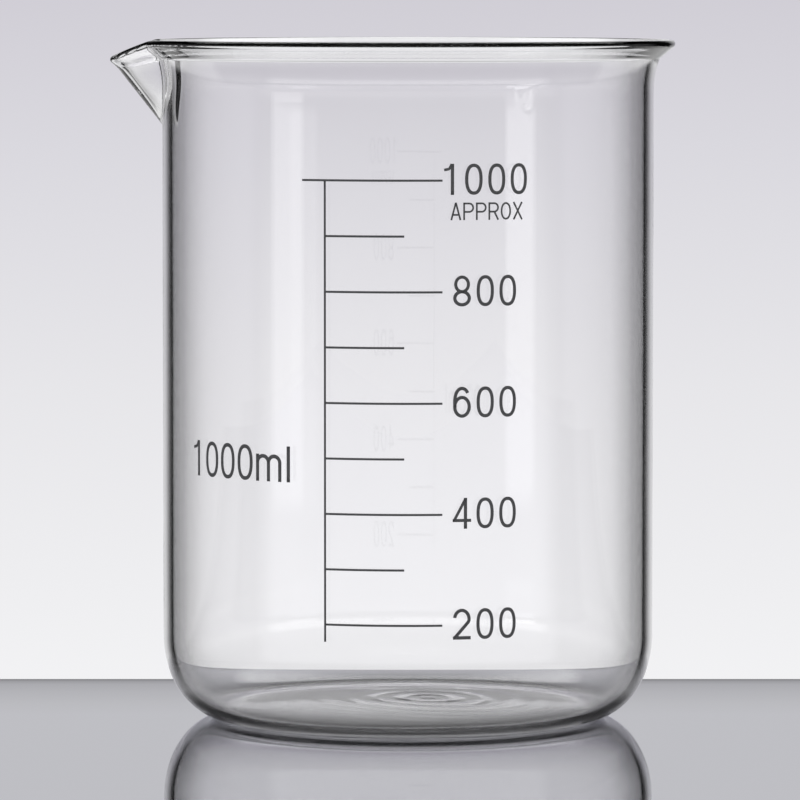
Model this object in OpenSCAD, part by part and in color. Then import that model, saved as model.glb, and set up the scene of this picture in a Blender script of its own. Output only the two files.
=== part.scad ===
// Low-form laboratory beaker with a pouring spout and a volume scale fired onto its wall.
// The origin is the centre of the underside of the base, and +Z points up.
// The spout points along -X and the scale faces -Y. All lengths are in millimetres.

/* [Glass body] */
// Outside diameter of the straight wall
body_d = 105; // [98:1:112]
// Height from the table to the top of the rim
height = 145; // [140:1:165]
// Thickness of the wall
wall_t = 2.1; // [1.6:0.1:2.4]
// Thickness of the flat part of the base
base_t = 2.4; // [2:0.1:4]
// Outside radius of the rounded heel between wall and base
heel_r = 13; // [10:0.5:15]

/* [Rim] */
// Radius of the gentle outward curve at the top of the wall, on the outside
flare_r = 20; // [16:1:26]
// Lean from the vertical at the end of that curve
flare_lean = 20; // [16:1:24]
// Radius of the tighter bend under the lip, on the outside
bend_r = 1.5; // [1.2:0.1:4]
// Lean of the lip from the vertical
lip_lean = 52; // [45:1:58]
// Length of the straight part of the lip
lip_l = 3.4; // [2.6:0.1:4]
// Radius of the fire-polished edge
edge_r = 0.9; // [0.6:0.05:1]

/* [Spout] */
// Distance from the wall's outside to the tip of the spout
spout_reach = 11.2; // [10.5:0.1:12]
// Angle between the underside of the spout and the vertical
spout_lean = 38; // [35:1:42]
// Half the angle that the spout's cone opens by
spout_half_angle = 34; // [30:1:36]
// Angle at which the lip slopes down to the tip
lip_slope = 27; // [22:1:32]

/* [Scale] */
// Thickness of the fired-on enamel
ink_t = 0.04; // [0.03:0.01:0.05]
// Width of the scale's lines
line_w = 0.45; // [0.35:0.05:0.6]
// Height of the lowest mark above the table
first_mark_z = 24.8; // [22:0.1:28]
// Distance between two neighbouring marks
mark_pitch = 11.48; // [10.5:0.01:11.6]
// How far the upright line runs on below the lowest mark
spine_tail = 3.6; // [2:0.1:6]
// Where the upright line stands, in degrees round from -Y towards +X
spine_az = -19.1; // [-24:0.1:-15]
// Where the long marks end
long_az = 7.7; // [5:0.1:9]
// Where the short marks end
short_az = -0.9; // [-4:0.1:2]
// Where the top mark begins, past the upright line
top_mark_az = -24.6; // [-28:0.1:-22]

/* [Numbers and words] */
// Height of the scale's numbers
number_h = 6.4; // [5:0.1:7]
// Width of one digit of the scale's numbers
number_w = 3.75; // [3.4:0.05:4]
// Line width of the scale's numbers
number_line = 0.7; // [0.6:0.05:0.85]
// Distance between two digits, centre to centre
number_pitch = 4.97; // [4.6:0.01:5.3]
// Middle of the numbers, in degrees round from -Y towards +X
number_az = 17.6; // [16:0.1:20]
// Height of the small word under the top number
word_h = 3.6; // [3:0.1:4]
// Width of one letter of the small word
word_w = 2.25; // [2:0.05:2.4]
// Line width of the small word
word_line = 0.38; // [0.3:0.01:0.5]
// Angle between two letters of the small word
word_pitch_az = 2.95; // [2.8:0.05:3.1]
// Middle height of the small word above the table
word_z = 110.3; // [109:0.1:111]
// Height of the digits in the large capacity mark
capacity_h = 7.45; // [6:0.05:8]
// Width of one digit in the large capacity mark
capacity_w = 4.2; // [3.8:0.05:4.4]
// Line width of the large capacity mark
capacity_line = 0.8; // [0.5:0.01:0.85]
// Angle between two digits of the large capacity mark
capacity_pitch_az = 5.55; // [5.4:0.05:5.7]
// Foot of the large capacity mark above the table
capacity_z = 54; // [40:0.5:70]
// Middle of its first digit, in degrees round from -Y towards +X
capacity_az = -57.2; // [-60:0.1:-55]

/* [Hidden] */
$fn = 128;
body_r = body_d / 2;
bore_r = body_r - wall_t;
// The wall's outside runs up to flare_z, round a gentle arc, round a tighter bend and along the lip.
flare_rise = flare_r * sin(flare_lean) + bend_r * (sin(lip_lean) - sin(flare_lean));
flare_z = height - edge_r * (1 + sin(lip_lean)) - lip_l * cos(lip_lean) - flare_rise;
flare_centre = [body_r + flare_r, flare_z];
bend_centre = flare_centre + (flare_r - bend_r) * [-cos(flare_lean), sin(flare_lean)];
lip_out = [cos(lip_lean), -sin(lip_lean)];
lip_start = bend_centre - bend_r * lip_out;
lip_end = lip_start + lip_l * [sin(lip_lean), cos(lip_lean)];
edge_centre = lip_end - edge_r * lip_out;
// The spout is a cone: its outermost side leans by spout_lean and passes through the tip.
lip_inner_x = edge_centre[0] + 0.3;
lip_inner_z = height - 0.3;
tip_x = body_r + spout_reach;
tip_z = lip_inner_z - (tip_x - lip_inner_x) * tan(lip_slope);
apex_x = body_r - 3;
apex_z = tip_z - (tip_x - apex_x) / tan(spout_lean);
cone_tilt = spout_lean - spout_half_angle;
cone_h = 60;
big = 200;
top_mark_z = first_mark_z + 8 * mark_pitch;
number_rise = 0.25;
number_pitch_az = number_pitch / body_r * 180 / PI;
half_spine_az = line_w / 2 / body_r * 180 / PI;
// The unit after the capacity's digits: a low m and a tall l
unit_m_az = 23.7;
unit_m_w = 6.4;
unit_m_h = 0.76 * capacity_h;
unit_l_az = 29;
zero_shift_az = 0.3;
glass_colour = "#dfe6e6";
ink_colour = "#4b4d50";

// ---- glass ----

// Half section of a round-bottomed blank of radius r, from z = foot to z = top
module rounded_blank(r, corner, foot, top) {
    translate([0, foot + corner]) square([r, top - foot - corner]);
    translate([0, foot]) square([r - corner, corner]);
    intersection() {
        translate([r - corner, foot + corner]) circle(corner);
        translate([r - corner, foot]) square([corner, corner]);
    }
}

// Points along a bend of radius r about c, from lean a0 to lean a1 in n steps
function bend_points(c, r, a0, a1, n) =
    [for (k = [0:n]) c + r * [-cos(a0 + (a1 - a0) * k / n), sin(a0 + (a1 - a0) * k / n)]];

// The flare's points, t inwards from its outside face
function flare_points(t) = concat(
    bend_points(flare_centre, flare_r + t, 0, flare_lean, 5),
    bend_points(bend_centre, bend_r + t, flare_lean + 6, lip_lean, 5));

// Half section of the flare and the lip, which thins towards the polished edge
module flare_section() {
    inner = flare_points(wall_t);
    edge_half = 0.96 * edge_r;
    polygon(concat(
        flare_points(0),
        [edge_centre + edge_half * lip_out, edge_centre - edge_half * lip_out],
        [for (k = [len(inner) - 1:-1:0]) inner[k]]));
    translate(edge_centre) circle(edge_r);
}

// Half section of all the glass that is turned round the axis
module wall_section() {
    difference() {
        rounded_blank(body_r, heel_r, 0, flare_z);
        rounded_blank(bore_r, heel_r - wall_t, base_t, flare_z + 1);
    }
    flare_section();
}

// Half section of everything inside the middle of the wall, open at the top. It trims the spout
// where the spout meets the wall, and its sides stay buried in the glass.
module inside_section() {
    half = wall_t / 2;
    top = height + cone_h;
    polygon(concat([[0, heel_r], [body_r - half, heel_r]], flare_points(half),
                   [edge_centre, [edge_centre[0], top], [0, top]]));
}

// A cone that stands on its point at the root of the spout and leans outwards, raised by rise
module spout_cone(rise) {
    translate([apex_x, 0, apex_z])
        rotate([0, cone_tilt, 0])
            translate([0, 0, rise])
                cylinder(h = cone_h, r1 = 0, r2 = cone_h * tan(spout_half_angle));
}

// Everything above the lip: it slopes down to the tip and never stands above the rim
module above_lip() {
    translate([lip_inner_x, -big / 2, lip_inner_z])
        rotate([0, lip_slope, 0])
            translate([-big / 2, 0, 0]) cube([big, big, big]);
    translate([0, -big / 2, lip_inner_z]) cube([big, big, big]);
}

module glass_vessel() {
    inner_rise = wall_t / sin(spout_half_angle);
    color(glass_colour, 0.35)
        rotate([0, 0, 180])
            difference() {
                union() {
                    rotate_extrude() wall_section();
                    difference() {
                        spout_cone(0);
                        above_lip();
                        rotate_extrude() inside_section();
                    }
                }
                spout_cone(inner_rise);
            }
}

// ---- strokes that the print is drawn with ----

// A straight stroke of width w from p to q
module bar(p, q, w) {
    translate(p)
        rotate(atan2(q[1] - p[1], q[0] - p[0]))
            translate([0, -w / 2]) square([norm(q - p), w]);
}

// A round stroke of width w about c, from angle a0 to a1
module arc(c, r, a0, a1, w) {
    reach = 3 * r;
    translate(c)
        intersection() {
            difference() {
                circle(r + w / 2);
                circle(r - w / 2);
            }
            polygon(concat([[0, 0]],
                [for (i = [0:6]) reach * [cos(a0 + (a1 - a0) * i / 6), sin(a0 + (a1 - a0) * i / 6)]]));
        }
}

// A closed ring stroke
module ring(c, r, w) {
    translate(c)
        difference() {
            circle(r + w / 2);
            circle(r - w / 2);
        }
}

// ---- digits and letters, centred on the origin, h high, b wide, w the stroke ----

module zero(h, b, w) {
    r = (b - w) / 2;
    side = (h - b) / 2;
    arc([0, side], r, 0, 180, w);
    arc([0, -side], r, 180, 360, w);
    for (x = [-r, r]) bar([x, -side], [x, side], w);
}

module one(h, b, w) {
    stem = 0.1 * b;
    bar([stem, -h / 2], [stem, h / 2], w);
    bar([-0.28 * b, 0.26 * h], [stem, 0.42 * h], w * 0.9);
}

module two(h, b, w) {
    r = (b - w) / 2;
    cy = h / 2 - b / 2;
    last = -38;
    foot = -h / 2 + w / 2;
    arc([0, cy], r, last, 165, w);
    bar([0, cy] + r * [cos(last), sin(last)], [-r * 0.86, foot], w);
    bar([-b / 2, foot], [b / 2, foot], w);
}

module four(h, b, w) {
    stem = 0.2 * b;
    cross = -0.22 * h;
    bar([stem, -h / 2], [stem, h / 2], w);
    bar([-b / 2, cross], [b / 2, cross], w);
    bar([-b / 2 + w * 0.4, cross], [stem - w * 0.1, h / 2 - w * 0.45], w * 0.9);
}

module six(h, b, w) {
    r = (b - w) / 2;
    low = -h / 2 + b / 2;
    high = h / 2 - b / 2;
    ring([0, low], r, w);
    bar([-r, low], [-r, high], w);
    arc([0, high], r, 28, 180, w);
}

module eight(h, b, w) {
    lower = (b - w) / 2;
    upper = (h - w) / 2 - lower;
    ring([0, -h / 2 + w / 2 + lower], lower, w);
    ring([0, h / 2 - w / 2 - upper], upper, w);
}

module digit(d, h, b, w) {
    if (d == 0) zero(h, b, w);
    if (d == 1) one(h, b, w);
    if (d == 2) two(h, b, w);
    if (d == 4) four(h, b, w);
    if (d == 6) six(h, b, w);
    if (d == 8) eight(h, b, w);
}

module letter_a(h, b, w) {
    for (side = [-1, 1]) bar([side * (b - w) / 2, -h / 2], [0, h / 2 - w * 0.3], w);
    bar([-b * 0.3, -h * 0.2], [b * 0.3, -h * 0.2], w);
}

module letter_p(h, b, w) {
    bowl = (h / 2 - w) / 2 + w / 4;
    cy = h / 2 - w / 2 - bowl;
    left = -(b - w) / 2;
    right = b / 2 - w / 2 - bowl;
    bar([left, -h / 2], [left, h / 2], w);
    for (y = [cy - bowl, cy + bowl]) bar([left, y], [right, y], w);
    arc([right, cy], bowl, -90, 90, w);
}

module letter_r(h, b, w) {
    letter_p(h, b, w);
    bar([0, -w / 4], [b / 2 - w / 2, -h / 2], w);
}

module letter_x(h, b, w) {
    reach = (b - w) / 2;
    for (side = [-1, 1]) bar([-side * reach, -h / 2], [side * reach, h / 2], w);
}

module letter_m(h, b, w) {
    r = (b - w) / 4;
    shoulder = h - w / 2 - r;
    bar([-2 * r, 0], [-2 * r, h], w);
    for (c = [-r, r]) {
        arc([c, shoulder], r, 0, 180, w);
        bar([c + r, 0], [c + r, shoulder], w);
    }
}

// ---- print on the wall ----

// Wraps a flat mark onto the wall, az degrees round from -Y towards +X, z above the table
module on_wall(az, z) {
    reach = 3;
    intersection() {
        difference() {
            cylinder(h = height, r = body_r + ink_t);
            translate([0, 0, -1]) cylinder(h = height + 2, r = body_r);
        }
        rotate([0, 0, az])
            translate([0, 0, z])
                rotate([90, 0, 0])
                    translate([0, 0, body_r - reach]) linear_extrude(2 * reach) children();
    }
}

// A band of enamel round the wall from one azimuth to another
module band(az_from, az_to, z_from, z_to) {
    rotate([0, 0, az_from - 90])
        rotate_extrude(angle = az_to - az_from)
            translate([body_r, z_from]) square([ink_t, z_to - z_from]);
}

// A number of the scale, given as its digits, beside mark k
module scale_number(digits, k) {
    z = first_mark_z + k * mark_pitch + number_rise;
    last = len(digits) - 1;
    color(ink_colour)
        for (i = [0:last])
            on_wall(number_az + (i - last / 2) * number_pitch_az, z)
                digit(digits[i], number_h, number_w, number_line);
}

module scale_spine() {
    color(ink_colour)
        band(spine_az - half_spine_az, spine_az + half_spine_az,
             first_mark_z - spine_tail, top_mark_z - line_w / 2);
}

// A mark at height z that runs from the upright line to az_to
module mark(az_from, az_to, z) {
    band(az_from, az_to, z - line_w / 2, z + line_w / 2);
}

module long_marks() {
    color(ink_colour) {
        for (k = [0:2:6]) mark(spine_az + half_spine_az, long_az, first_mark_z + k * mark_pitch);
        mark(top_mark_az, long_az, top_mark_z);
    }
}

module short_marks() {
    color(ink_colour)
        for (k = [1:2:7]) mark(spine_az + half_spine_az, short_az, first_mark_z + k * mark_pitch);
}

module number_1000() { scale_number([1, 0, 0, 0], 8); }
module number_800() { scale_number([8, 0, 0], 6); }
module number_600() { scale_number([6, 0, 0], 4); }
module number_400() { scale_number([4, 0, 0], 2); }
module number_200() { scale_number([2, 0, 0], 0); }

// Letter i of the small word, at its place on the wall
module word_letter(i) {
    on_wall(number_az + 0.5 + (i - 2.5) * word_pitch_az, word_z) children();
}

module word_approx() {
    color(ink_colour) {
        word_letter(0) letter_a(word_h, word_w * 1.1, word_line);
        for (i = [1, 2]) word_letter(i) letter_p(word_h, word_w, word_line);
        word_letter(3) letter_r(word_h, word_w, word_line);
        word_letter(4) zero(word_h, word_w * 1.15, word_line);
        word_letter(5) letter_x(word_h, word_w, word_line);
    }
}

module capacity_mark_1000ml() {
    z_mid = capacity_z + capacity_h / 2;
    color(ink_colour) {
        on_wall(capacity_az, z_mid) one(capacity_h, capacity_w, capacity_line);
        for (i = [1:3])
            on_wall(capacity_az + i * capacity_pitch_az + zero_shift_az, z_mid)
                zero(capacity_h, capacity_w, capacity_line);
        on_wall(capacity_az + unit_m_az, capacity_z) letter_m(unit_m_h, unit_m_w, capacity_line);
        on_wall(capacity_az + unit_l_az, z_mid)
            bar([0, -capacity_h / 2], [0, capacity_h / 2], capacity_line);
    }
}

glass_vessel();
scale_spine();
long_marks();
short_marks();
number_1000();
number_800();
number_600();
number_400();
number_200();
word_approx();
capacity_mark_1000ml();
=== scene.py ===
import bpy
import numpy as np
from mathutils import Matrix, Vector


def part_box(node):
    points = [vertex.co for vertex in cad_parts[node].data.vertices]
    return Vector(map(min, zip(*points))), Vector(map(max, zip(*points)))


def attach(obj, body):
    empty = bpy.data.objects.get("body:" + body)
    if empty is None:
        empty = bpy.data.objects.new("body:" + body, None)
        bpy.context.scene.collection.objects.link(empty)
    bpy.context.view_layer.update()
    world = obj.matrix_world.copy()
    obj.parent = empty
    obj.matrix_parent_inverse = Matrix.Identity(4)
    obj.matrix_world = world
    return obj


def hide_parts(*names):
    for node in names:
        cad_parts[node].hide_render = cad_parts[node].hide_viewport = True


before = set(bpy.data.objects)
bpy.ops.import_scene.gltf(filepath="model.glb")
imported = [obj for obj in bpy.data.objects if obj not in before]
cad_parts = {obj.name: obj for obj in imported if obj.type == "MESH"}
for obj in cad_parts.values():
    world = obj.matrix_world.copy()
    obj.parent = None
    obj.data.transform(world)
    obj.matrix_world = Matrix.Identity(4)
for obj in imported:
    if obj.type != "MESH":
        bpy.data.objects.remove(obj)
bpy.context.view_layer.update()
mm = 0.001
print("stage 1: frame loaded,", len(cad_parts), "nodes")


# ---------- sizes that the frame gives ----------
bodyRadius = 52.5 * mm
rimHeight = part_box("glass_vessel")[1][2]


def makePiece(name, points, faces, material, standsFor):
    # turns numpy points and lists of corner numbers into a smooth piece that rides on the body
    mesh = bpy.data.meshes.new(name)
    mesh.from_pydata(points.reshape(-1, 3).tolist(), [], faces)
    mesh.polygons.foreach_set("use_smooth", np.ones(len(mesh.polygons), dtype=bool))
    mesh.materials.append(material)
    mesh.update()
    piece = bpy.data.objects.new(name, mesh)
    bpy.context.scene.collection.objects.link(piece)
    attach(piece, "root")
    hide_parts(standsFor)
    return piece


def gridFaces(rows, columns, offset=0, closed=True):
    # corner numbers of the quads between neighbouring rows and columns of a grid
    count = columns if closed else columns - 1
    i, j = np.meshgrid(np.arange(rows - 1), np.arange(count), indexing="ij")
    k = (j + 1) % columns
    corners = np.stack([i * columns + j, (i + 1) * columns + j, (i + 1) * columns + k, i * columns + k], -1)
    return (corners.reshape(-1, 4) + offset).tolist()


def smoothStep(low, high, x):
    # 0 below low, 1 above high, and an S-shaped rise between them
    t = np.clip((x - low) / (high - low), 0, 1)
    return t * t * (3 - 2 * t)


# ---------- node helpers ----------
def addNode(tree, kind, x, y, **settings):
    node = tree.nodes.new(kind)
    node.location = (x, y)
    for key, value in settings.items():
        setattr(node, key, value)
    return node


def mathNode(tree, operation, a, b=None, x=0, y=0):
    # one sum on numbers or sockets
    node = addNode(tree, "ShaderNodeMath", x, y, operation=operation)
    for socket, value in zip(node.inputs, (a, b)):
        if value is None:
            continue
        if isinstance(value, (int, float)):
            socket.default_value = value
        else:
            tree.links.new(value, socket)
    return node.outputs[0]


def ramp(tree, source, low, high, fromValue, toValue, x=0, y=0, kind="SMOOTHSTEP"):
    # source between low and high becomes fromValue to toValue, held beyond the ends
    node = addNode(tree, "ShaderNodeMapRange", x, y, interpolation_type=kind)
    tree.links.new(source, node.inputs["Value"])
    node.inputs["From Min"].default_value = low
    node.inputs["From Max"].default_value = high
    node.inputs["To Min"].default_value = fromValue
    node.inputs["To Max"].default_value = toValue
    return node.outputs["Result"]


def stopRamp(tree, source, stops, low, high, x=0, y=0):
    # a colour ramp through the given stops, (place, value or colour), between low and high
    node = addNode(tree, "ShaderNodeValToRGB", x, y)
    elements = node.color_ramp.elements
    for i, (place, value) in enumerate(stops):
        stop = elements[i] if i in (0, 1) else elements.new(1)
        stop.position = (place - low) / (high - low)
        stop.color = (*value, 1) if isinstance(value, tuple) else (value, value, value, 1)
    tree.links.new(ramp(tree, source, low, high, 0, 1, x - 200, y, "LINEAR"), node.inputs["Fac"])
    return node.outputs["Color"]


def newMaterial(name):
    material = bpy.data.materials.new(name)
    material.use_nodes = True
    tree = material.node_tree
    tree.nodes.clear()
    output = addNode(tree, "ShaderNodeOutputMaterial", 600, 0)
    return material, tree, output


# ---------- glass ----------
glass = {
    "wall": 2.1 * mm,             # thickness of the straight wall
    "base": 2.0 * mm,             # thickness of the base
    "heel": 13.0 * mm,            # reach inwards of the oval curve between wall and base, outside
    "heelHeight": 17.5 * mm,      # height at which that curve starts
    "flareRadius": 21.0 * mm,     # gentle outward curve, on the middle of the wall
    "flareLean": 20.0,            # lean from the vertical where that curve ends, in degrees
    "bendRadius": 1.5 * mm,       # tighter bend under the lip, on the middle of the wall
    "lipLean": 52.0,
    "lipLength": 3.77 * mm,
    "edgeRadius": 0.9 * mm,       # fire-polished edge of the rim
    "kickUp": 0.7 * mm,           # rise of the underside towards its middle
    "topStart": 126.0 * mm,       # height at which the spout's root begins
    "edgeSwell": 0.7,             # share of the top's length after which the wall grows into its edge
    "segments": 480,
    "crowding": 0.72,             # how much closer the points stand near the spout
    "fineRows": (0.76, 0.84),     # share of the top's length that has closer rows, round its bend
    "pole": 0.5 * mm,             # radius of the first ring of points, round the axis
}
spout = {
    "lean": 38.0,                 # lean of the spout from the vertical, in degrees
    "rootAt": 1.2 * mm,           # how far above topStart it starts to lean
    "rootSoftness": 2.0 * mm,
    "bendAt": 16.3 * mm,          # where its own lip turns out further, along the spout
    "bendSoftness": 1.6 * mm,
    "lipLean": 52.0,
    "length": 18.9 * mm,          # from topStart to the middle of its edge
    "edgeRadius": 0.8 * mm,
    "widthRoot": 3.2 * mm,        # reach of the spout round the wall, at its root and at the rim
    "widthRim": 11.5 * mm,
    "tipRound": 0.22,             # share of that width over which its tip is rounded
    "shoulder": 0.07,             # softness of its shoulders
    "bendShare": 0.78,            # share of the rows that lie before its bend
    "fadeOut": (1.2, 2.2),        # multiples of that width between which the last of it dies away
    "middle": np.pi,              # the spout points along -X
}
ripples = {
    "centre": (6.6 * mm, 9.0 * mm),
    "height": 0.09 * mm,
    "wave": 6.0 * mm,
    "reach": 21.0 * mm,
    "bend": 2.2 * mm,
}


def walk(start, lean, step):
    # a path that begins at start = (r, z) and turns outwards: it follows the lean at each step
    r = start[0] + np.concatenate([[0], np.cumsum(np.sin(lean[:-1]) * step)])
    z = start[1] + np.concatenate([[0], np.cumsum(np.cos(lean[:-1]) * step)])
    return r, z


def rimPath(g, samples):
    # the middle of the wall from topStart to the centre of the edge: upright, a gentle arc,
    # a tighter arc and a straight lip. Returns r, z at samples of the whole length from 0 to 1.
    flare = g["flareRadius"] * np.radians(g["flareLean"])
    bend = g["bendRadius"] * np.radians(g["lipLean"] - g["flareLean"])
    rise = (g["flareRadius"] * np.sin(np.radians(g["flareLean"]))
            + g["bendRadius"] * (np.sin(np.radians(g["lipLean"])) - np.sin(np.radians(g["flareLean"])))
            + g["lipLength"] * np.cos(np.radians(g["lipLean"])))
    upright = rimHeight - g["edgeRadius"] - rise - g["topStart"]
    total = upright + flare + bend + g["lipLength"]
    fine = np.linspace(0, total, 4001)
    lean = np.interp(fine, [0, upright, upright + flare, upright + flare + bend, total],
                     np.radians([0, 0, g["flareLean"], g["lipLean"], g["lipLean"]]))
    r, z = walk((bodyRadius - g["wall"] / 2, g["topStart"]), lean, fine[1])
    return np.interp(samples * total, fine, r), np.interp(samples * total, fine, z)


def spoutPath(g, s, samples):
    # the middle of the wall along the spout's own line: upright, leaning straight out, then its lip
    fine = np.linspace(0, s["length"], 4001)
    lean = (np.radians(s["lean"]) * smoothStep(s["rootAt"] - s["rootSoftness"] / 2,
                                              s["rootAt"] + s["rootSoftness"] / 2, fine)
            + np.radians(s["lipLean"] - s["lean"]) * smoothStep(s["bendAt"] - s["bendSoftness"] / 2,
                                                               s["bendAt"] + s["bendSoftness"] / 2, fine))
    r, z = walk((bodyRadius - g["wall"] / 2, g["topStart"]), lean, fine[1])
    place = np.interp(samples, [0, s["bendShare"], 1], [0, s["bendAt"], s["length"]])
    return np.interp(place, fine, r), np.interp(place, fine, z)


def spoutShare(s, samples, angle):
    # how much of the spout's line a point follows: 1 at its middle, falling evenly to 0 at its
    # width, with a rounded tip and soft shoulders
    across = bodyRadius * np.abs(np.angle(np.exp(1j * (angle - s["middle"]))))
    width = s["widthRoot"] + (s["widthRim"] - s["widthRoot"]) * samples
    t = across[None, :] / width[:, None]
    e, k = s["tipRound"], s["shoulder"]
    # 1 less the distance across, with the corner at its middle rounded over e
    left = 1 - (np.sqrt(t * t + e * e) - e)
    # the larger of that and 0, with the change between them softened over k
    share = (left + np.sqrt(left * left + k * k)) / 2
    return share / share.max() * (1 - smoothStep(*s["fadeOut"], t))


def baseRipples(w, x, y):
    # rings about a point off the middle, bent by two slow waves, dying away with distance
    dx = x - w["centre"][0] + w["bend"] * np.sin(y / (9 * mm) + 0.6)
    dy = y - w["centre"][1] + w["bend"] * np.sin(x / (11 * mm) - 0.4)
    away = np.hypot(dx, dy)
    rings = np.cos(2 * np.pi * away / w["wave"]) * np.exp(-(away / w["reach"]) ** 2)
    slow = 0.5 * np.sin(x / (6.5 * mm) + 1.3) * np.sin(y / (8 * mm) + 0.2)
    return w["height"] * (rings + slow)


def vesselSurface(g, s, w):
    # one closed surface: out along the inside of the base, up the inside, over the rim, down the
    # outside, in along the underside. Each row is a ring of points round the axis.
    even = np.arange(g["segments"]) * 2 * np.pi / g["segments"]
    angle = s["middle"] + even - g["crowding"] * np.sin(even)
    outward = np.stack([np.cos(angle), np.sin(angle), np.zeros_like(angle)], -1)

    def rings(r, z):
        rows = r[:, None, None] * outward[None]
        rows[..., 2] = z[:, None] if z.ndim == 1 else z
        return rows

    boreRadius = bodyRadius - g["wall"]
    innerHeel = g["heel"] - g["wall"]
    flat = boreRadius - innerHeel

    # inside of the base, with its ripples fading before the heel
    r = np.linspace(g["pole"], flat, 44)
    x, y = r[:, None] * np.cos(angle), r[:, None] * np.sin(angle)
    fade = 1 - smoothStep(0.75 * flat, flat, r)[:, None]
    innerBase = rings(r, g["base"] + baseRipples(w, x, y) * fade)

    # inner heel, an oval quarter turn, then the straight bore
    turn = np.linspace(0, np.pi / 2, 21)[1:]
    innerTurn = rings(flat + innerHeel * np.sin(turn),
                      g["base"] + (g["heelHeight"] - g["base"]) * (1 - np.cos(turn)))
    heights = np.linspace(g["heelHeight"], g["topStart"], 9)[1:-1]
    innerWall = rings(np.full_like(heights, boreRadius), heights)

    # the flared top with the spout: the middle of the wall is a blend of two paths,
    # and both faces lie half a thickness away along its normals
    fineFrom, fineTo = g["fineRows"]
    u = np.concatenate([np.linspace(0, fineFrom, 15), np.linspace(fineFrom, fineTo, 14)[1:],
                        np.linspace(fineTo, 1, 9)[1:]])
    rimR, rimZ = rimPath(g, u)
    spoutR, spoutZ = spoutPath(g, s, u)
    share = spoutShare(s, u, angle)
    r = rimR[:, None] * (1 - share) + spoutR[:, None] * share
    z = rimZ[:, None] * (1 - share) + spoutZ[:, None] * share
    middle = r[..., None] * outward[None]
    middle[..., 2] = z
    along = np.gradient(middle, u, axis=0)
    around = np.roll(middle, -1, 1) - np.roll(middle, 1, 1)
    normal = np.cross(around, along)
    normal /= np.linalg.norm(normal, axis=-1, keepdims=True)
    edge = g["edgeRadius"] + (s["edgeRadius"] - g["edgeRadius"]) * share[-1]
    half = g["wall"] / 2 + (edge[None, :] - g["wall"] / 2) * smoothStep(g["edgeSwell"], 1, u)[:, None]
    innerTop = middle - half[..., None] * normal
    outerTop = middle + half[..., None] * normal
    tip = np.cross(normal[-1], around[-1])
    tip /= np.linalg.norm(tip, axis=-1, keepdims=True)
    swing = np.linspace(-np.pi / 2, np.pi / 2, 17)[1:-1, None, None]
    roundEdge = middle[-1] + edge[None, :, None] * (np.sin(swing) * normal[-1] + np.cos(swing) * tip)

    # outside of the wall and heel, then the underside, which rises slightly towards the middle
    heights = np.linspace(g["topStart"], g["heelHeight"], 9)[1:-1]
    outerWall = rings(np.full_like(heights, bodyRadius), heights)
    turn = np.linspace(np.pi / 2, 0, 25)
    foot = bodyRadius - g["heel"]
    outerTurn = rings(foot + g["heel"] * np.sin(turn), g["heelHeight"] * (1 - np.cos(turn)))
    r = np.linspace(foot, g["pole"], 17)[1:]
    under = rings(r, g["kickUp"] * (1 - (r / foot) ** 2))

    grid = np.concatenate([innerBase, innerTurn, innerWall, innerTop, roundEdge, outerTop[::-1],
                           outerWall, outerTurn, under])
    return grid


def closeWithPoles(grid):
    # adds a point at each end of the surface, on the axis, and a fan of triangles to it
    rows, columns = grid.shape[:2]
    first, last = grid[0].mean(0), grid[-1].mean(0)
    points = np.concatenate([grid.reshape(-1, 3), [first, last]])
    faces = gridFaces(rows, columns)
    j = np.arange(columns)
    k = (j + 1) % columns
    start = np.full(columns, rows * columns)
    faces += np.stack([start, j, k], -1).tolist()
    end = (rows - 1) * columns
    faces += np.stack([start + 1, end + k, end + j], -1).tolist()
    return points, faces


def glassMaterial():
    # clear borosilicate: faint long waves in the surface and a barely uneven polish
    material, tree, output = newMaterial("clearGlass")
    coords = addNode(tree, "ShaderNodeTexCoord", -900, 0)
    waves = addNode(tree, "ShaderNodeTexNoise", -650, -150)
    waves.inputs["Scale"].default_value = 34
    waves.inputs["Detail"].default_value = 2
    cords = addNode(tree, "ShaderNodeTexNoise", -650, 150)
    cords.inputs["Scale"].default_value = 90
    cords.inputs["Detail"].default_value = 3
    tree.links.new(coords.outputs["Object"], waves.inputs["Vector"])
    tree.links.new(coords.outputs["Object"], cords.inputs["Vector"])
    tint = addNode(tree, "ShaderNodeValToRGB", -400, 250)
    tint.color_ramp.elements[0].color = (0.988, 0.986, 0.990, 1)
    tint.color_ramp.elements[1].color = (0.999, 0.998, 0.999, 1)
    tree.links.new(cords.outputs["Fac"], tint.inputs["Fac"])
    polish = ramp(tree, cords.outputs["Fac"], 0.45, 0.8, 0.0, 0.012, -400, 0)
    bump = addNode(tree, "ShaderNodeBump", -200, -200)
    bump.inputs["Strength"].default_value = 0.25
    bump.inputs["Distance"].default_value = 0.00008
    tree.links.new(waves.outputs["Fac"], bump.inputs["Height"])
    shader = addNode(tree, "ShaderNodeBsdfPrincipled", 200, 0)
    shader.inputs["Metallic"].default_value = 0
    shader.inputs["Transmission Weight"].default_value = 1
    shader.inputs["IOR"].default_value = 1.474
    tree.links.new(tint.outputs["Color"], shader.inputs["Base Color"])
    tree.links.new(polish, shader.inputs["Roughness"])
    tree.links.new(bump.outputs["Normal"], shader.inputs["Normal"])
    tree.links.new(shader.outputs["BSDF"], output.inputs["Surface"])
    return material


points, faces = closeWithPoles(vesselSurface(glass, spout, ripples))
vesselPiece = makePiece("glassVessel", points, faces, glassMaterial(), "glass_vessel")
print("stage 2: vessel,", len(faces), "faces, highest", points[:, 2].max(), "widest", points[:, 0].min())


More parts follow.
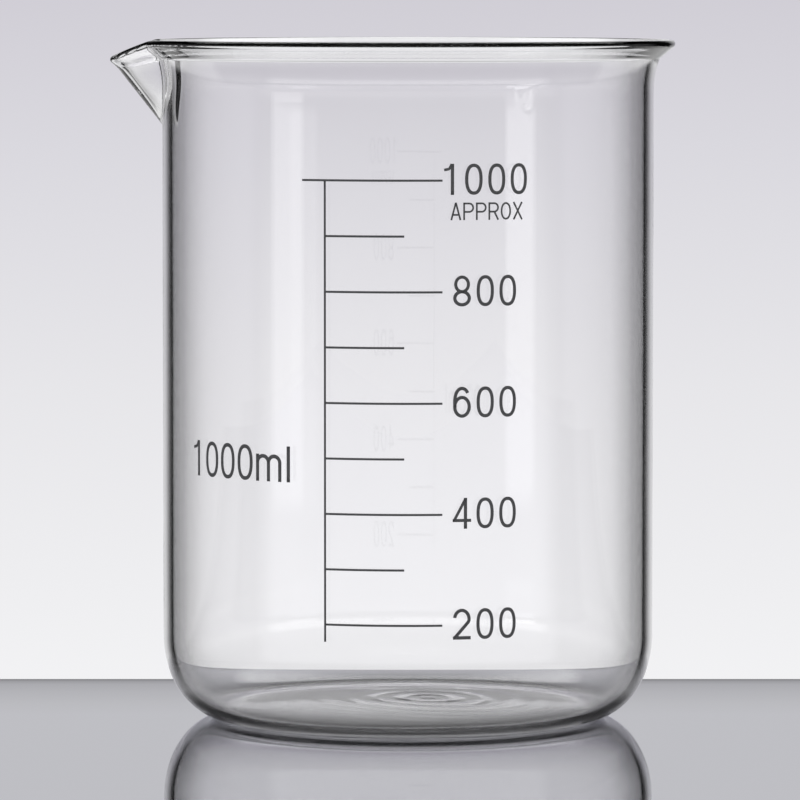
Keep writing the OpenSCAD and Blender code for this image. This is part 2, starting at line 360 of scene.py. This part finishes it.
# ---------- print ----------
ink = {
    "proud": 0.03 * mm,           # height of the enamel over the glass
    "sunk": 0.02 * mm,            # depth that the firing sank it by
    "lineWidth": 0.45 * mm,
    "firstMark": 24.8 * mm,       # height of the lowest mark
    "markPitch": 11.48 * mm,
    "spineTail": 3.6 * mm,
    "spine": -19.1,               # degrees round from -Y towards +X
    "longEnd": 7.7,
    "shortEnd": -0.9,
    "topMarkStart": -24.6,
}
numbers = {
    "height": 6.4 * mm,
    "width": 3.75 * mm,
    "line": 0.70 * mm,
    "pitch": 4.97 * mm,
    "middle": 17.6,
    "rise": 0.25 * mm,
}
word = {"height": 3.6 * mm, "width": 2.3 * mm, "line": 0.38 * mm, "pitch": 2.7 * mm,
        "middle": 18.1, "level": 110.3 * mm}
capacity = {"height": 7.45 * mm, "width": 4.2 * mm, "line": 0.80 * mm, "pitch": 5.08 * mm,
            "first": -57.2,               # azimuth of its first figure
            "zeroShift": 0.3,             # extra degrees before the zeros
            "foot": 54.0 * mm,
            "smallWidth": 6.4 * mm,       # width of the m
            "smallHeight": 0.76,          # height of the m as a share of the figures'
            "smallAt": 23.7, "tallAt": 29.0}    # degrees from the first figure to the m and the l


def enamelMaterial():
    # dark grey fired enamel: a fine grain in the colour and the surface, and lighter towards the bottom
    material, tree, output = newMaterial("firedEnamel")
    coords = addNode(tree, "ShaderNodeTexCoord", -900, 0)
    grain = addNode(tree, "ShaderNodeTexNoise", -650, 0)
    grain.inputs["Scale"].default_value = 2600
    grain.inputs["Detail"].default_value = 4
    patches = addNode(tree, "ShaderNodeTexNoise", -650, 250)
    patches.inputs["Scale"].default_value = 260
    for noise in (grain, patches):
        tree.links.new(coords.outputs["Object"], noise.inputs["Vector"])
    both = mathNode(tree, "ADD", mathNode(tree, "MULTIPLY", grain.outputs["Fac"], 0.4, -420, 60),
                    mathNode(tree, "MULTIPLY", patches.outputs["Fac"], 0.6, -420, 220), -250, 150)
    tint = addNode(tree, "ShaderNodeValToRGB", -80, 200)
    tint.color_ramp.elements[0].position = 0.35
    tint.color_ramp.elements[0].color = (0.086, 0.088, 0.094, 1)
    tint.color_ramp.elements[1].position = 0.65
    tint.color_ramp.elements[1].color = (0.130, 0.132, 0.140, 1)
    tree.links.new(both, tint.inputs["Fac"])
    place = addNode(tree, "ShaderNodeSeparateXYZ", -650, 480)
    tree.links.new(coords.outputs["Object"], place.inputs[0])
    # the colour turns lighter grey towards the bottom, by height
    lighterBelow = addNode(tree, "ShaderNodeMix", 150, 300, data_type="RGBA")
    lighterBelow.inputs["B"].default_value = (0.17, 0.172, 0.18, 1)
    tree.links.new(tint.outputs["Color"], lighterBelow.inputs["A"])
    tree.links.new(ramp(tree, place.outputs["Z"], 0.02, 0.11, 0.55, 0.0, -400, 480), lighterBelow.inputs["Factor"])
    satin = ramp(tree, patches.outputs["Fac"], 0.3, 0.7, 0.38, 0.52, -80, -50)
    bump = addNode(tree, "ShaderNodeBump", -80, -250)
    bump.inputs["Strength"].default_value = 0.5
    bump.inputs["Distance"].default_value = 0.00001
    tree.links.new(grain.outputs["Fac"], bump.inputs["Height"])
    shader = addNode(tree, "ShaderNodeBsdfPrincipled", 250, 0)
    shader.inputs["IOR"].default_value = 1.5
    tree.links.new(lighterBelow.outputs["Result"], shader.inputs["Base Color"])
    tree.links.new(satin, shader.inputs["Roughness"])
    tree.links.new(bump.outputs["Normal"], shader.inputs["Normal"])
    tree.links.new(shader.outputs["BSDF"], output.inputs["Surface"])
    return material


def straight(p, q, count=6):
    # points from p to q
    t = np.linspace(0, 1, count)[:, None]
    return np.asarray(p) * (1 - t) + np.asarray(q) * t


def bow(centre, radiusX, radiusY, start, end, count=33, power=2.0):
    # points along a rounded oval, x = a cos^(2/n), y = b sin^(2/n); n = 2 is an ellipse
    t = np.radians(np.linspace(start, end, count))
    c, s = np.cos(t), np.sin(t)
    x = centre[0] + radiusX * np.sign(c) * np.abs(c) ** (2 / power)
    y = centre[1] + radiusY * np.sign(s) * np.abs(s) ** (2 / power)
    return np.stack([x, y], -1)


def glyph(name, h, b, w):
    # strokes of a plain upright figure or letter, centred, h high and b wide, w the line width.
    # Each stroke is (points, width).
    r = (b - w) / 2
    top = (h - w) / 2
    if name == "0":
        return [(bow((0, 0), r, top, 0, 360, 73, 2.35), w)]
    if name == "1":
        stem = 0.12 * b
        flag = np.concatenate([straight((stem - w * 0.2, h / 2 - w * 0.1), (stem - 0.15 * b, 0.36 * h), 5),
                               straight((stem - 0.2 * b, 0.33 * h), (stem - 0.46 * b, 0.30 * h), 4)])
        return [(straight((stem, -h / 2), (stem, h / 2)), w), (flag, w * 0.8)]
    if name == "2":
        upper = 0.28 * h
        arch = bow((0, top - upper), r, upper, 172, -12, 33)
        sweep = straight(arch[-1] + (-0.03 * b, -0.04 * h), (-r * 0.92, -top + w * 0.2), 8)
        return [(np.concatenate([arch, sweep]), w), (straight((-b / 2, -top), (b / 2, -top)), w)]
    if name == "4":
        stem = 0.2 * b
        cross = -0.23 * h
        return [(straight((stem, -h / 2), (stem, h / 2)), w),
                (straight((-b / 2 - 0.02 * b, cross), (b / 2 + 0.02 * b, cross)), w * 0.92),
                (straight((-b / 2 + w * 0.35, cross), (stem - w * 0.1, h / 2 - w * 0.5)), w * 0.85)]
    if name == "6":
        bowl = 0.3 * h
        low = -top + bowl
        spineLeft = bow((0, 0), r, top, 40, 200, 41, 2.2)
        return [(bow((0, low), r, bowl, 0, 360, 65), w), (spineLeft, w)]
    if name == "8":
        upper, lower = 0.235 * h, (h - w) / 2 - 0.235 * h
        return [(bow((0, top - upper), r * 0.88, upper, 0, 360, 65), w * 0.95),
                (bow((0, -top + lower), r, lower, 0, 360, 65), w)]
    if name == "A":
        return [(straight((-r, -h / 2), (0, h / 2)), w), (straight((r, -h / 2), (0, h / 2)), w),
                (straight((-b * 0.3, -h * 0.2), (b * 0.3, -h * 0.2)), w)]
    if name in "PR":
        bowl = 0.24 * h
        middle = top - bowl
        loop = np.concatenate([straight((-r, top), (r - bowl, top), 4),
                               bow((r - bowl, middle), bowl, bowl, 90, -90, 21),
                               straight((r - bowl, middle - bowl), (-r, middle - bowl), 4)])
        strokes = [(straight((-r, -h / 2), (-r, h / 2)), w), (loop, w)]
        if name == "R":
            strokes.append((straight((r * 0.15, middle - bowl), (r + w * 0.1, -h / 2)), w))
        return strokes
    if name == "O":
        return [(bow((0, 0), r, top, 0, 360, 73, 2.1), w)]
    if name == "X":
        return [(straight((-r, -h / 2), (r, h / 2)), w), (straight((r, -h / 2), (-r, h / 2)), w)]
    if name == "m":
        arch = r / 2
        feet = -h / 2
        crown = top - arch
        strokes = [(straight((-r, feet), (-r, h / 2)), w)]
        for side in (-1, 1):
            hump = bow((side * arch, crown), arch, arch, 175, 0, 21)
            leg = straight(hump[-1] - (0, 0.05 * h), (hump[-1][0], feet))
            strokes.append((np.concatenate([hump, leg]), w))
        return strokes
    if name == "l":
        return [(straight((0, -h / 2), (0, h / 2)), w)]
    raise ValueError(name)


def ribbon(points, width, azimuth, level):
    # a raised stroke on the wall: across the stroke runs a low flat-topped hump, along it the
    # path, and both are wrapped onto the wall, distance along it becoming an angle
    path = np.asarray(points, dtype=float)
    closed = np.allclose(path[0], path[-1])
    if closed:
        path = path[:-1]
        ahead = np.roll(path, -1, 0) - np.roll(path, 1, 0)
    else:
        ahead = np.gradient(path, axis=0)
    ahead /= np.linalg.norm(ahead, axis=1, keepdims=True)
    side = np.stack([-ahead[:, 1], ahead[:, 0]], -1)
    across = np.array([-0.5, -0.5, -0.47, -0.4, 0.4, 0.47, 0.5, 0.5]) * width
    rise = np.array([-ink["sunk"], 0.35 * ink["proud"], 0.8 * ink["proud"], ink["proud"],
                     ink["proud"], 0.8 * ink["proud"], 0.35 * ink["proud"], -ink["sunk"]])
    flat = path[:, None, :] + across[None, :, None] * side[:, None, :]
    angle = np.radians(azimuth) + flat[..., 0] / bodyRadius
    r = bodyRadius + np.broadcast_to(rise[None, :], angle.shape)
    grid = np.stack([r * np.sin(angle), -r * np.cos(angle), level + flat[..., 1]], -1)
    rows, columns = grid.shape[:2]
    if closed:
        grid = np.concatenate([grid, grid[:1]])
        faces = gridFaces(rows + 1, columns)
        wrap = rows * columns
        faces = [[c % wrap for c in f] for f in faces]
        return grid[:-1].reshape(-1, 3), faces
    faces = gridFaces(rows, columns)
    faces += [list(range(columns))[::-1], [(rows - 1) * columns + k for k in range(columns)]]
    return grid.reshape(-1, 3), faces


def printPiece(name, strokes, standsFor):
    # joins strokes, each (points, width, azimuth, level), into one piece of enamel
    allPoints, allFaces, count = [], [], 0
    for path, width, azimuth, level in strokes:
        points, faces = ribbon(path, width, azimuth, level)
        allPoints.append(points)
        allFaces += [[c + count for c in f] for f in faces]
        count += len(points)
    return makePiece(name, np.concatenate(allPoints), allFaces, enamel, standsFor)


def textStrokes(text, style, azimuth, level):
    # the strokes of a row of figures or letters centred on azimuth
    strokes = []
    for i, letter in enumerate(text):
        place = azimuth + np.degrees((i - (len(text) - 1) / 2) * style["pitch"] / bodyRadius)
        for path, width in glyph(letter, style["height"], style["width"], style["line"]):
            strokes.append((path, width, place, level))
    return strokes


def markHeight(k):
    # height of mark k, counted from the lowest
    return ink["firstMark"] + k * ink["markPitch"]


def markStroke(start, end, k):
    # a scale line between two azimuths, drawn from its middle
    reach = np.radians(end - start) * bodyRadius / 2
    return (straight((-reach, 0), (reach, 0), 41), ink["lineWidth"], (start + end) / 2, markHeight(k))


enamel = enamelMaterial()
halfLine = np.degrees(ink["lineWidth"] / 2 / bodyRadius)
spineFoot = markHeight(0) - ink["spineTail"]
spineTop = markHeight(8) - ink["lineWidth"] / 2
spineReach = (spineTop - spineFoot) / 2
printPiece("scaleSpine", [(straight((0, -spineReach), (0, spineReach), 41), ink["lineWidth"], ink["spine"],
                           (spineTop + spineFoot) / 2)], "scale_spine")
longMarks = [markStroke(ink["spine"] + halfLine, ink["longEnd"], k) for k in (0, 2, 4, 6)]
longMarks.append(markStroke(ink["topMarkStart"], ink["longEnd"], 8))
printPiece("longMarks", longMarks, "long_marks")
printPiece("shortMarks", [markStroke(ink["spine"] + halfLine, ink["shortEnd"], k) for k in (1, 3, 5, 7)],
           "short_marks")
for k, text in ((8, "1000"), (6, "800"), (4, "600"), (2, "400"), (0, "200")):
    figures = textStrokes(text, numbers, numbers["middle"], markHeight(k) + numbers["rise"])
    printPiece("number" + text, figures, "number_" + text)
printPiece("wordApprox", textStrokes("APPROX", word, word["middle"], word["level"]), "word_approx")

capacityMiddle = capacity["foot"] + capacity["height"] / 2
smallHeight = capacity["smallHeight"] * capacity["height"]
smallMiddle = capacity["foot"] + smallHeight / 2
step = np.degrees(capacity["pitch"] / bodyRadius)
# letter, turn from the first figure in degrees, height, width and the height of its middle
row = [("1", 0, capacity["height"], capacity["width"], capacityMiddle)]
row += [("0", i * step + capacity["zeroShift"], capacity["height"], capacity["width"], capacityMiddle)
        for i in (1, 2, 3)]
row += [("m", capacity["smallAt"], smallHeight, capacity["smallWidth"], smallMiddle),
        ("l", capacity["tallAt"], capacity["height"], capacity["width"], capacityMiddle)]
strokes = []
for letter, turn, height, width, middle in row:
    for path, line in glyph(letter, height, width, capacity["line"]):
        strokes.append((path, line, capacity["first"] + turn, middle))
printPiece("capacityMark", strokes, "capacity_mark_1000ml")
print("stage 3: print")


# ---------- table ----------
table = {
    "back": 67 * mm, "front": 900 * mm, "side": 900 * mm, "thick": 14 * mm, "edge": 0.5 * mm,
    # darkening of the matt part by distance from the axis: it is in shade round the foot
    "shade": ((0, 1.0), (36 * mm, 0.95), (41 * mm, 0.25), (49 * mm, 0.25), (56 * mm, 1.0)),
    "mirrorFrom": (0.62, 0.86),   # facing values between which the mirror takes over from the matt
    "grazing": (0.845, 0.862),    # facing values between which the weakening by place sets in
    # strength of the mirror image by Y, which weakens towards the back edge: painted shade along that edge
    "gloss": ((0, (0.585, 0.585, 0.61)), (20 * mm, (0.56, 0.56, 0.58)), (42 * mm, (0.51, 0.51, 0.53)),
              (56 * mm, (0.46, 0.46, 0.48)), (62 * mm, (0.38, 0.38, 0.395)), (65 * mm, (0.28, 0.28, 0.29)),
              (67 * mm, (0.22, 0.22, 0.23))),
}


def tableMaterial():
    # pale polished table: it mirrors at a grazing angle and is matt grey seen from above
    material, tree, output = newMaterial("tableTop")
    coords = addNode(tree, "ShaderNodeTexCoord", -900, 0)
    cloud = addNode(tree, "ShaderNodeTexNoise", -650, 0)
    cloud.inputs["Scale"].default_value = 14
    cloud.inputs["Detail"].default_value = 3
    tree.links.new(coords.outputs["Object"], cloud.inputs["Vector"])
    tint = addNode(tree, "ShaderNodeValToRGB", -400, 200)
    tint.color_ramp.elements[0].color = (0.60, 0.60, 0.62, 1)
    tint.color_ramp.elements[1].color = (0.66, 0.66, 0.68, 1)
    tree.links.new(cloud.outputs["Fac"], tint.inputs["Fac"])
    matt = addNode(tree, "ShaderNodeBsdfDiffuse", -50, 150)
    away = addNode(tree, "ShaderNodeVectorMath", -650, 400, operation="LENGTH")
    tree.links.new(coords.outputs["Object"], away.inputs[0])
    shade = addNode(tree, "ShaderNodeMix", -200, 250, data_type="RGBA", blend_type="MULTIPLY")
    shade.inputs["Factor"].default_value = 1
    tree.links.new(tint.outputs["Color"], shade.inputs["A"])
    shadeEnd = table["shade"][-1][0]
    footShade = stopRamp(tree, away.outputs["Value"], table["shade"], 0, shadeEnd, -400, 450)
    tree.links.new(footShade, shade.inputs["B"])
    tree.links.new(shade.outputs["Result"], matt.inputs["Color"])
    place = addNode(tree, "ShaderNodeSeparateXYZ", -650, -300)
    tree.links.new(coords.outputs["Object"], place.inputs[0])
    # painted shade: the mirror's colour darkens towards the back edge, set by Y
    back = stopRamp(tree, place.outputs["Y"], table["gloss"], 0, table["back"], -300, -400)
    weight = addNode(tree, "ShaderNodeLayerWeight", -400, 400)
    weight.inputs["Blend"].default_value = 0.5
    gloss = addNode(tree, "ShaderNodeMix", -200, -350, data_type="RGBA")
    gloss.inputs["A"].default_value = (*table["gloss"][0][1], 1)
    tree.links.new(back, gloss.inputs["B"])
    lowView = ramp(tree, weight.outputs["Facing"], *table["grazing"], 0, 1, -400, -350)
    tree.links.new(lowView, gloss.inputs["Factor"])
    mirror = addNode(tree, "ShaderNodeBsdfGlossy", -50, -100)
    tree.links.new(gloss.outputs["Result"], mirror.inputs["Color"])
    polish = ramp(tree, cloud.outputs["Fac"], 0.3, 0.7, 0.012, 0.03, -300, -150)
    tree.links.new(polish, mirror.inputs["Roughness"])
    grazing = ramp(tree, weight.outputs["Facing"], *table["mirrorFrom"], 0.06, 1.0, -150, 400)
    mix = addNode(tree, "ShaderNodeMixShader", 250, 0)
    tree.links.new(grazing, mix.inputs["Fac"])
    tree.links.new(matt.outputs["BSDF"], mix.inputs[1])
    tree.links.new(mirror.outputs["BSDF"], mix.inputs[2])
    tree.links.new(mix.outputs["Shader"], output.inputs["Surface"])
    return material


x, y0, y1 = table["side"], -table["front"], table["back"]
corners = np.array([[sx * x, y, z] for z in (-table["thick"], 0) for y in (y0, y1) for sx in (-1, 1)])
slabFaces = [[0, 2, 3, 1], [4, 5, 7, 6], [0, 1, 5, 4], [2, 6, 7, 3], [0, 4, 6, 2], [1, 3, 7, 5]]
slabMesh = bpy.data.meshes.new("tableTop")
slabMesh.from_pydata(corners.tolist(), [], slabFaces)
slabMesh.materials.append(tableMaterial())
slab = bpy.data.objects.new("tableTop", slabMesh)
bpy.context.scene.collection.objects.link(slab)
bevel = slab.modifiers.new("edge", "BEVEL")
bevel.width = table["edge"]
bevel.segments = 3
print("stage 4: table")


# ---------- light ----------
studio = {
    # brightness and tint of the backdrop, from the horizon to 6.5 degrees above or below it
    "backdrop": ((0.0, (0.625, 0.607, 0.662)), (0.25, (0.70, 0.69, 0.735)), (0.6, (0.80, 0.795, 0.82)),
                 (1.0, (0.885, 0.885, 0.90))),
    "backdropTilt": 6.5,
    # share of it by degrees away from +Y: the backdrop, a dark gap, and grey walls at the sides
    "around": ((0, 1.0), (5, 1.0), (7, 0.95), (9, 0.85), (12, 0.72), (14.5, 0.66), (17, 0.62),
               (20, 0.52), (22, 0.36), (24.5, 0.12), (26.5, 0.006), (44, 0.006), (52, 0.22), (64, 0.5),
               (90, 0.8), (100, 0.8), (110, 0.0)),
    # share of it by degrees above the horizon
    "upward": ((0, 1.0), (9, 1.0), (12, 0.72), (16, 0.42), (22, 0.08), (27, 0.0)),
    # the room on the viewer's side, by elevation in degrees
    "room": ((-30, 0.3), (-12, 0.4), (-8, 0.7), (-6.2, 1.10), (-4.3, 1.0), (-3.5, 0.96), (-2.5, 0.82),
             (-2.1, 0.72), (-1.5, 0.57), (-1.2, 0.50), (-1.0, 0.35), (0, 0.3), (3, 1.0), (4, 1.70),
             (6, 1.88), (9, 1.9), (13, 0.5), (30, 0.1)),
    "roomFrom": 98, "roomFull": 112,    # degrees away from +Y between which it sets in
    # two tall soft boxes on the viewer's side, (azimuth, half width, brightness), and their
    # brightness by degrees above or below the horizon
    "strips": ((-121.4, 7.6, 1.4), (126.3, 6.9, 0.6)), "stripSoft": 0.8,
    "stripTall": ((0, 0), (1.15, 0), (1.3, 1.0), (2.8, 0.70), (4.85, 0.52), (5.1, 0.0)),
    "mirrorGain": 1.7,            # makes up for the table's loss where it mirrors them
    # a large soft box high up behind: brightness by elevation, and the azimuths where it ends
    "overhead": ((0, 0), (34, 0), (42, 2.2), (60, 2.2), (68, 0.5), (90, 0.5)),
    "overheadEnd": (40, 75),
    "dark": 0.008,                # brightness of everything else
    # floor past the table: brightness behind and on the viewer's side, the elevations between
    # which it sets in, and those below which only a share of it is left
    "below": 0.80, "belowRoom": 0.5, "belowStart": (-14, -9), "belowEnd": (-34, -24), "belowDeep": 0.1,
}


def buildWorld(s):
    # the studio as directions: azimuth 0 is +Y and grows towards +X, elevation is above the horizon
    world = bpy.data.worlds.new("studio")
    world.use_nodes = True
    tree = world.node_tree
    tree.nodes.clear()
    output = addNode(tree, "ShaderNodeOutputWorld", 1500, 0)
    background = addNode(tree, "ShaderNodeBackground", 1300, 0)
    coords = addNode(tree, "ShaderNodeTexCoord", -1200, 0)
    split = addNode(tree, "ShaderNodeSeparateXYZ", -1000, 0)
    tree.links.new(coords.outputs["Generated"], split.inputs[0])
    degrees = 180 / np.pi
    turn = mathNode(tree, "ARCTAN2", split.outputs["X"], split.outputs["Y"], -800, 200)
    rise = mathNode(tree, "ARCSINE", split.outputs["Z"], None, -800, -200)
    azimuth = mathNode(tree, "MULTIPLY", turn, degrees, -650, 200)
    elevation = mathNode(tree, "MULTIPLY", rise, degrees, -650, -200)
    aside = mathNode(tree, "ABSOLUTE", azimuth, None, -500, 200)
    tilt = mathNode(tree, "ABSOLUTE", elevation, None, -500, -200)

    def window(source, centre, half, soft):
        # 1 within half of the centre, falling to 0 over soft
        away = mathNode(tree, "ABSOLUTE", mathNode(tree, "SUBTRACT", source, centre))
        return ramp(tree, away, half, half + soft, 1, 0)

    def combine(kind, a, b):
        # two colours mixed in full by the given kind of mix
        node = addNode(tree, "ShaderNodeMix", 700, 200, data_type="RGBA", blend_type=kind)
        node.inputs["Factor"].default_value = 1
        for key, value in (("A", a), ("B", b)):
            tree.links.new(value, node.inputs[key])
        return node.outputs["Result"]

    stops = [(place * s["backdropTilt"], colour) for place, colour in s["backdrop"]]
    fade = stopRamp(tree, tilt, stops, 0, s["backdropTilt"], 0, 400)
    around = stopRamp(tree, aside, s["around"], 0, 180, 0, 150)
    low = stopRamp(tree, elevation, s["upward"], 0, 90, 0, 250)
    backdrop = combine("MULTIPLY", combine("MULTIPLY", fade, around), low)

    room = mathNode(tree, "MULTIPLY", stopRamp(tree, elevation, s["room"], -30, 30, 0, -100),
                    ramp(tree, aside, s["roomFrom"], s["roomFull"], 0, 1))
    strips = None
    for middle, half, power in s["strips"]:
        one = mathNode(tree, "MULTIPLY", window(azimuth, middle, half, s["stripSoft"]), power)
        strips = one if strips is None else mathNode(tree, "ADD", strips, one)
    tall = mathNode(tree, "MULTIPLY", stopRamp(tree, tilt, s["stripTall"], 0, 10, 0, -300),
                    ramp(tree, elevation, 0, 0.5, 1, s["mirrorGain"]))
    strips = mathNode(tree, "MULTIPLY", strips, tall)
    floorBand = mathNode(tree, "MULTIPLY", ramp(tree, elevation, *s["belowStart"], 1, 0),
                         ramp(tree, elevation, *s["belowEnd"], s["belowDeep"], 1))
    ground = mathNode(tree, "MULTIPLY", floorBand,
                      ramp(tree, aside, s["roomFrom"], s["roomFull"], s["below"], s["belowRoom"]))
    high = mathNode(tree, "MULTIPLY", stopRamp(tree, elevation, s["overhead"], 0, 90, 0, -500),
                    ramp(tree, aside, *s["overheadEnd"], 1, 0.05))
    above = mathNode(tree, "ADD", high, s["dark"])
    viewerSide = mathNode(tree, "ADD", strips, room)
    elsewhere = mathNode(tree, "MAXIMUM", ground, above)
    lights = mathNode(tree, "MAXIMUM", viewerSide, elsewhere)
    tree.links.new(combine("LIGHTEN", backdrop, lights), background.inputs["Color"])
    tree.links.new(background.outputs[0], output.inputs["Surface"])
    return world


bpy.context.scene.world = buildWorld(studio)
print("stage 5: studio light")


# ---------- camera ----------
view = {"distance": 1.305, "height": 0.159, "aside": -0.0017, "pitch": 3.995, "lens": 274.6}

cameraData = bpy.data.cameras.new("camera")
cameraData.lens = view["lens"]
cameraData.sensor_width = 36
cameraData.clip_start = 0.05
cameraData.clip_end = 50
camera = bpy.data.objects.new("camera", cameraData)
camera.location = (view["aside"], -view["distance"], view["height"])
camera.rotation_euler = (np.radians(90 - view["pitch"]), 0, 0)
bpy.context.scene.collection.objects.link(camera)
bpy.context.scene.camera = camera

render = bpy.context.scene
render.view_settings.view_transform = "Standard"
render.cycles.max_bounces = 24
render.cycles.transmission_bounces = 20
render.cycles.glossy_bounces = 12
render.cycles.diffuse_bounces = 4
print("stage 6: camera")
